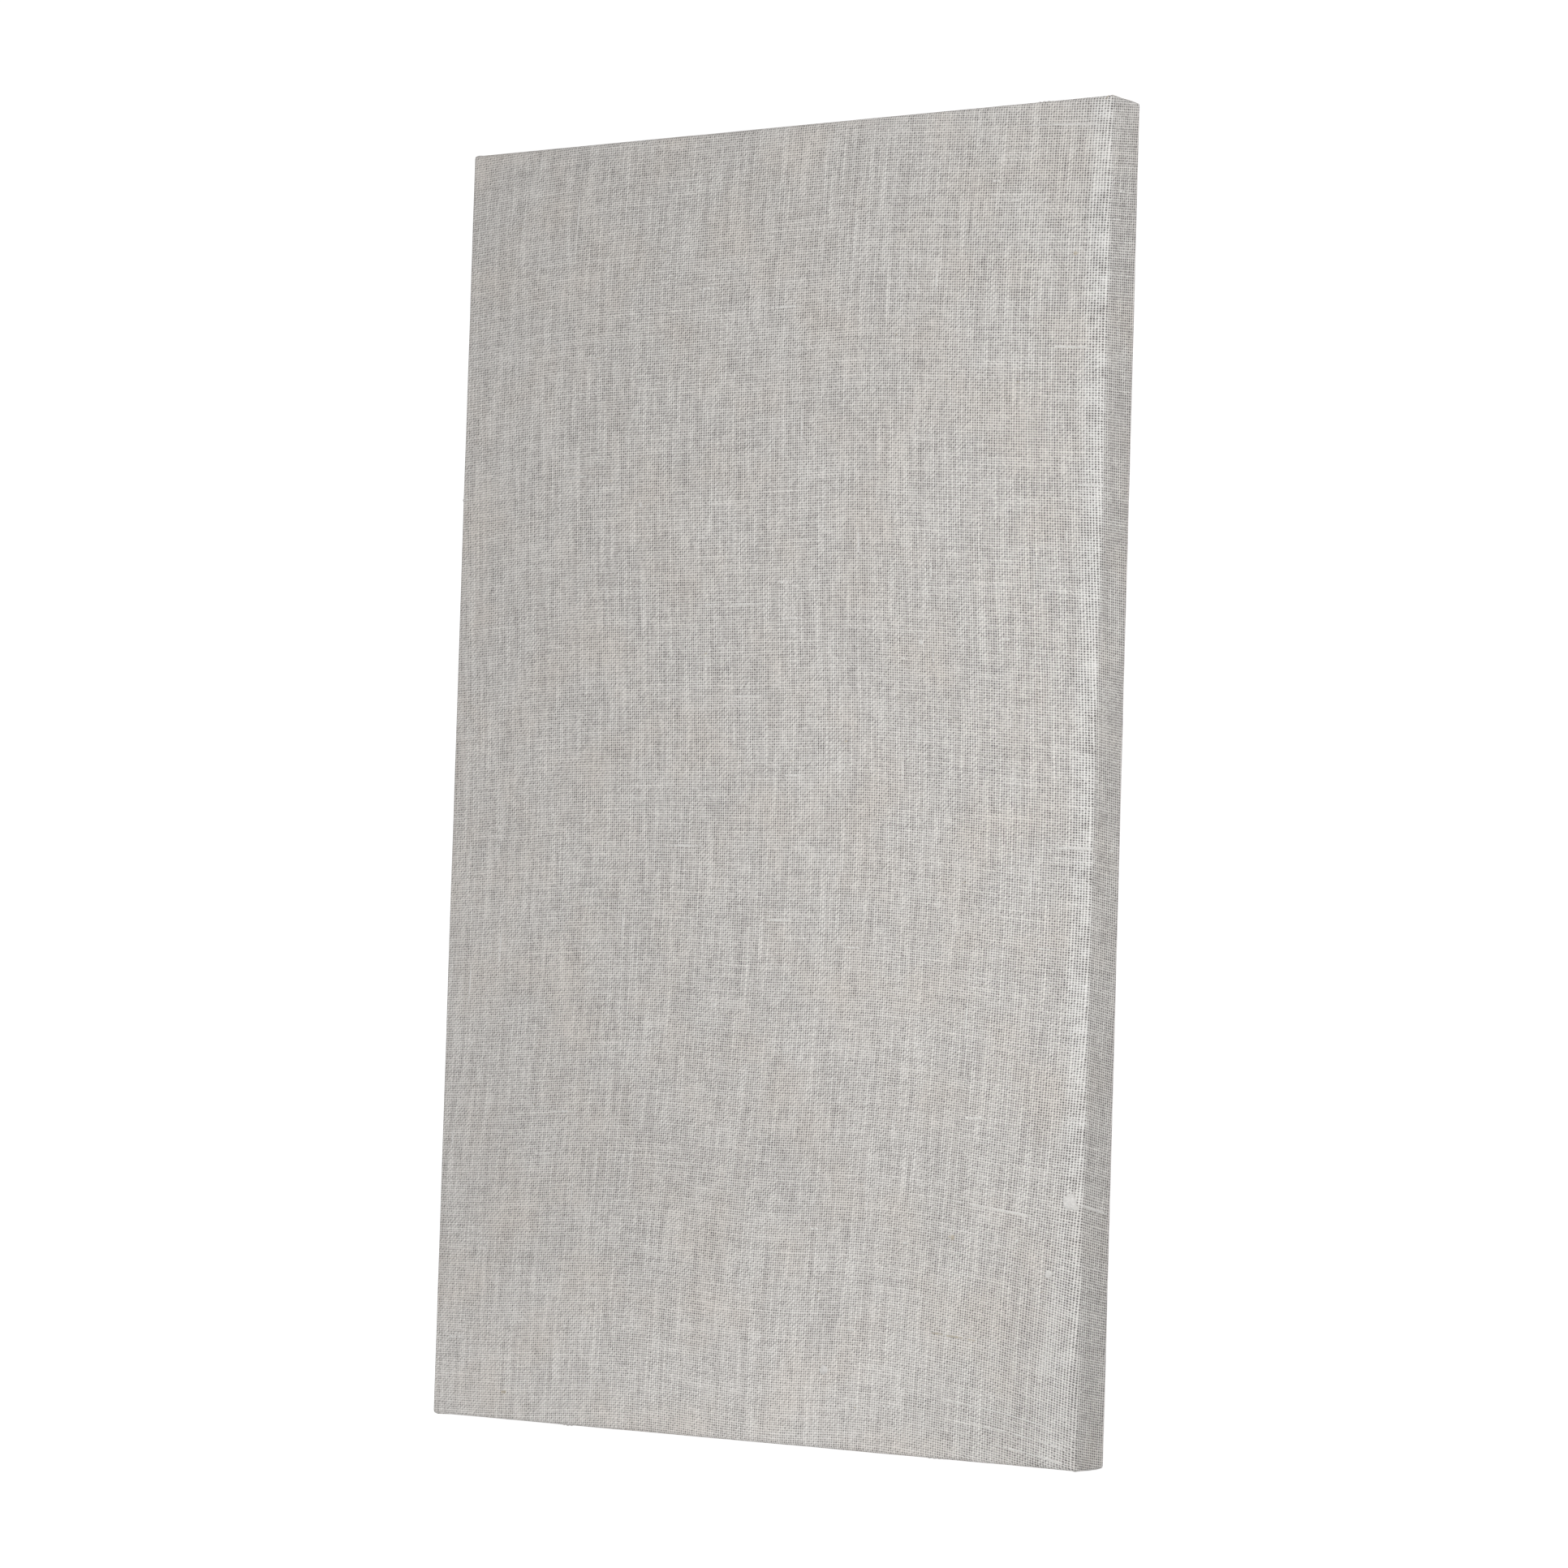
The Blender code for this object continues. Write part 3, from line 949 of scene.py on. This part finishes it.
bark_fibre = fibrous("beige_bark_fibre", BARK_PALE, BARK_DEEP)
specks = []
for number, (start, end, half_width) in enumerate(CLEAR_SPECKS):
    places = thread_line(start, end, True)
    seed = FIRST_SPECK + number
    specks.append(lay_yarn(spindle, places, half_width, CLEAR_SPECK_HEIGHT, 0.0, CLEAR_SPECK_WAVER, seed))
while len(specks) < SPECK_COUNT:
    start_x = chance.uniform(-SPECK_SPREAD_X, SPECK_SPREAD_X)
    start = (start_x, chance.uniform(-SPECK_SPREAD_Y, SPECK_SPREAD_Y))
    end_x = start[0] + chance.uniform(SPECK_SHORTEST, SPECK_LONGEST)
    end = (end_x, start[1] + chance.uniform(-SPECK_SLANT, SPECK_SLANT))
    half_width = chance.uniform(SPECK_NARROWEST, SPECK_WIDEST)
    places = thread_line(start, end, True)
    seed = FIRST_SPECK + len(specks)
    specks.append(lay_yarn(spindle, places, half_width, SPECK_HEIGHT, SPECK_RISE, SPECK_WAVER, seed))
places = thread_line(*LOOSE_END, True)
loose_end = lay_yarn(spindle, places, LOOSE_END_RADIUS, LOOSE_END_RADIUS, SPECK_RISE, 0.0, LOOSE_END_SEED)
for vertex in loose_end.data.vertices:
    vertex.co += Vector((0.2, 0.5, 1.0)) * max(vertex.co.x - LOOSE_FROM, 0.0) * LOOSE_RISE
specks.append(loose_end)
bark_specks = join_pieces(specks, "bark_specks", bark_fibre)
bpy.data.objects.remove(spindle)


# Knots
# Tufts of matted fibre where yarns were joined or picked up waste: one clear whitish lump near the right
# edge, a smaller one near the bottom and a few small ones. Each is pressed flat and grips the weave.
KNOTS = (
    ((0.2895, -0.3066), (0.0056, 0.0048), 0.0012),
    ((0.2945, -0.3105), (0.0030, 0.0020), 0.0006),
    ((0.0769, -0.4416), (0.0036, 0.0032), 0.0010),
    ((0.2735, -0.3596), (0.0028, 0.0024), 0.0010),
    ((-0.1210, 0.2140), (0.0018, 0.0016), 0.0008),
    ((0.1460, 0.1020), (0.0016, 0.0019), 0.0008),
    ((-0.0350, -0.1720), (0.0017, 0.0014), 0.0008),
)
KNOT_LUMPS = 0.18


def felt_knot(number, place, halves, height):
    """A flattened tuft with a lumpy outline, sunk in the cloth."""
    bpy.ops.object.select_all(action="DESELECT")
    bpy.ops.mesh.primitive_ico_sphere_add(subdivisions=5, radius=1.0, calc_uvs=False)
    knot = bpy.context.object
    where, facing = surface_at(place)
    upright = facing.to_track_quat("Z", "Y").to_matrix()
    chance = Vector((number * 7.3, number * 3.1, 0.0))
    for vertex in knot.data.vertices:
        lumps = noise.fractal(vertex.co * 1.6 + chance, 0.7, 2.1, 4)
        spread = 1.0 + KNOT_LUMPS * 2.0 * lumps
        tall = 1.0 + KNOT_LUMPS * 3.0 * noise.fractal(vertex.co * 3.4 - chance, 0.7, 2.1, 4)
        wide = vertex.co.x * halves[0] * spread
        deep = vertex.co.y * halves[1] * spread
        vertex.co = where + upright @ Vector((wide, deep, vertex.co.z * height * tall))
    return knot


tufts = [felt_knot(number, *knot) for number, knot in enumerate(KNOTS)]
knots = join_pieces(tufts, "matted_knots", soft_fibre)


# Frayed hem
# The cut edge of the cloth on the back, where the last threads have come away and the ends of the others
# stand out a few millimetres over the wool. One end is modelled and repeated at the threads' spacing.
FRAY_LENGTH = 0.0042
FRAY_RADIUS = 0.00038
FRAY_SIDES = 6
FRAY_CUTS = 3
FRAY_LEVEL = 0.0005
FRAY_HIDDEN = 0.0012
FRAY_TAPER = 0.55
FRAY_FLATNESS = 0.8
FRAY_SHIFT = 0.0003
FRAY_LEAN = 0.0012
FRAY_UNEVEN = 0.0001
FRAY_END_GAP = 0.002
FRAY_SPACING_X = 0.0018
FRAY_SPACING_Y = 0.00206


def fray(reach_x, reach_y, spacing, half_run, seed):
    """A row of yarn ends along one cut edge, which lies at reach_x or reach_y from the middle."""
    bpy.ops.object.select_all(action="DESELECT")
    bpy.ops.mesh.primitive_cone_add(
        vertices=FRAY_SIDES,
        radius1=FRAY_RADIUS,
        radius2=FRAY_RADIUS * FRAY_TAPER,
        depth=FRAY_LENGTH,
        calc_uvs=False,
    )
    row = bpy.context.object
    bpy.ops.object.mode_set(mode="EDIT")
    pick(row, lambda edge: abs(edge.verts[0].co.z - edge.verts[1].co.z) > FRAY_LENGTH / 2)
    bpy.ops.mesh.subdivide(number_cuts=FRAY_CUTS)
    bpy.ops.object.mode_set(mode="OBJECT")
    corners = len(row.data.vertices)
    count = int(2 * half_run / spacing)
    repeat = row.modifiers.new("repeat", "ARRAY")
    repeat.count = count
    repeat.use_relative_offset = False
    repeat.use_constant_offset = True
    repeat.constant_offset_displace = (spacing, 0.0, 0.0)
    bpy.ops.object.modifier_apply(modifier="repeat")
    chance = random.Random(seed)
    ends = []
    for _ in range(count):
        ends.append((chance.uniform(0.35, 1.25), chance.uniform(-1.0, 1.0), chance.uniform(-1.0, 1.0)))
    inwards = -1.0 if reach_x + reach_y > 0 else 1.0
    for index, vertex in enumerate(row.data.vertices):
        length, lean, shift = ends[index // corners]
        share = vertex.co.z / FRAY_LENGTH + 0.5
        run = (share * FRAY_LENGTH - FRAY_HIDDEN) * length
        thick = vertex.co.y * FRAY_FLATNESS
        place = vertex.co.x - half_run + shift * FRAY_SHIFT + lean * FRAY_LEAN * share * share * length
        out = (reach_x or reach_y) + inwards * run
        height = FRAY_LEVEL + thick + FRAY_UNEVEN * share * shift
        vertex.co = (out, place, height) if reach_x else (place, out, height)
    return row


window_x = PANEL_WIDTH / 2 - HEM_WIDTH
window_y = PANEL_HEIGHT / 2 - HEM_WIDTH
rows = []
for side in (-1, 1):
    rows.append(fray(side * window_x, 0.0, FRAY_SPACING_X, window_y - FRAY_END_GAP, 500 + side))
for side in (-1, 1):
    rows.append(fray(0.0, side * window_y, FRAY_SPACING_Y, window_x - FRAY_END_GAP, 510 + side))
frayed_hem = join_pieces(rows, "frayed_hem", soft_fibre)


# Floor
# A plain white studio floor that runs out of the picture on every side. It lies just under the hem, so it
# keeps the soft shadow at the foot of the panel.
FLOOR_REACH = 30.0
FLOOR_DROP = 0.0006
FLOOR_WHITE = (0.80, 0.80, 0.80, 1.0)
FLOOR_GLOW = 0.62
WHITE = (1.0, 1.0, 1.0, 1.0)


def seen_directly(tree):
    """One for a ray that shows the backdrop, straight or mirrored, and zero for a ray that lights."""
    light_path = tree.nodes.new("ShaderNodeLightPath")
    seen = reckon(tree, "MAXIMUM", light_path.outputs["Is Camera Ray"], light_path.outputs["Is Glossy Ray"])
    return reckon(tree, "MAXIMUM", seen, light_path.outputs["Is Transmission Ray"])


bpy.ops.object.select_all(action="DESELECT")
bpy.ops.mesh.primitive_plane_add(size=FLOOR_REACH, location=(0.0, 0.0, -FLOOR_DROP))
floor = bpy.context.object
floor.name = "studio_floor"
white, tree, shader = new_material("studio_white", FLOOR_WHITE, 1.0)
shader.inputs["Specular IOR Level"].default_value = 0.0
shader.inputs["Emission Color"].default_value = WHITE
join(tree, reckon(tree, "MULTIPLY", seen_directly(tree), FLOOR_GLOW), shader.inputs["Emission Strength"])
floor.data.materials.append(white)


# Studio light
# Even white light from all round, and one long soft box hung over the right edge along the panel's height.
# The face brightens from left to right, and the edge, which the soft box only grazes, stays greyer. A weak
# fill from the top right lifts the upper part of that edge.
AMBIENT = 0.458
BACKDROP = 1.0
SOFT_BOX_LENGTH = 1.4
SOFT_BOX_WIDTH = 0.5
SOFT_BOX_POWER = 7.75
SOFT_BOX_PLACE = Vector((0.5, -0.05, 1.0))
SOFT_BOX_AIM = Vector((0.15, -0.05, 0.0))
SOFT_BOX_ALONG = Vector((0.2, 1.0, 0.0))
SIDE_FILL_SIZE = 0.6
SIDE_FILL_POWER = 3.5
SIDE_FILL_PLACE = Vector((1.5, 0.9, 0.45))
SIDE_FILL_AIM = Vector((0.3, 0.3, 0.02))

world = bpy.data.worlds.new("studio")
bpy.context.scene.world = world
world.use_nodes = True
tree = world.node_tree
surroundings = tree.nodes["Background"]
surroundings.inputs["Color"].default_value = WHITE
brightness = ramp(tree, seen_directly(tree), 0.0, 1.0, AMBIENT, BACKDROP)
join(tree, brightness, surroundings.inputs["Strength"])

light = bpy.data.lights.new("soft_box", "AREA")
light.shape = "RECTANGLE"
light.size = SOFT_BOX_LENGTH
light.size_y = SOFT_BOX_WIDTH
light.energy = SOFT_BOX_POWER
lamp = bpy.data.objects.new("soft_box", light)
bpy.context.scene.collection.objects.link(lamp)
lamp_back = (SOFT_BOX_PLACE - SOFT_BOX_AIM).normalized()
lamp_across = SOFT_BOX_ALONG.cross(lamp_back).normalized()
lamp_along = lamp_back.cross(lamp_across)
lamp_turn = Matrix((lamp_along, -lamp_across, lamp_back)).transposed().to_4x4()
lamp.matrix_world = Matrix.Translation(SOFT_BOX_PLACE) @ lamp_turn

light = bpy.data.lights.new("side_fill", "AREA")
light.shape = "SQUARE"
light.size = SIDE_FILL_SIZE
light.energy = SIDE_FILL_POWER
lamp = bpy.data.objects.new("side_fill", light)
bpy.context.scene.collection.objects.link(lamp)
lamp_turn = (SIDE_FILL_AIM - SIDE_FILL_PLACE).to_track_quat("-Z", "Y").to_matrix().to_4x4()
lamp.matrix_world = Matrix.Translation(SIDE_FILL_PLACE) @ lamp_turn


# Camera
# It looks down on the lying panel from beyond its right edge, a little below the middle of its height. The
# panel is turned slightly in the picture, so the camera is rolled by that much.
CAMERA_PLACE = Vector((2.2588, -0.1772, 3.1404))
CAMERA_FORWARD = Vector((-0.58412, 0.04547, -0.81039)).normalized()
CAMERA_ROLL = radians(1.723)
CAMERA_LENS = 116.05
SENSOR_WIDTH = 36.0

backward = -CAMERA_FORWARD
level_right = Vector((0.0, 1.0, 0.0)).cross(backward).normalized()
level_up = backward.cross(level_right)
right = level_right * cos(CAMERA_ROLL) + level_up * sin(CAMERA_ROLL)
up = backward.cross(right)
camera_data = bpy.data.cameras.new("camera")
camera_data.lens = CAMERA_LENS
camera_data.sensor_width = SENSOR_WIDTH
camera_data.clip_end = 100.0
camera = bpy.data.objects.new("camera", camera_data)
bpy.context.scene.collection.objects.link(camera)
turn = Matrix((right, up, backward)).transposed().to_4x4()
camera.matrix_world = Matrix.Translation(CAMERA_PLACE) @ turn
bpy.context.scene.camera = camera
bpy.context.scene.view_settings.view_transform = "Standard"
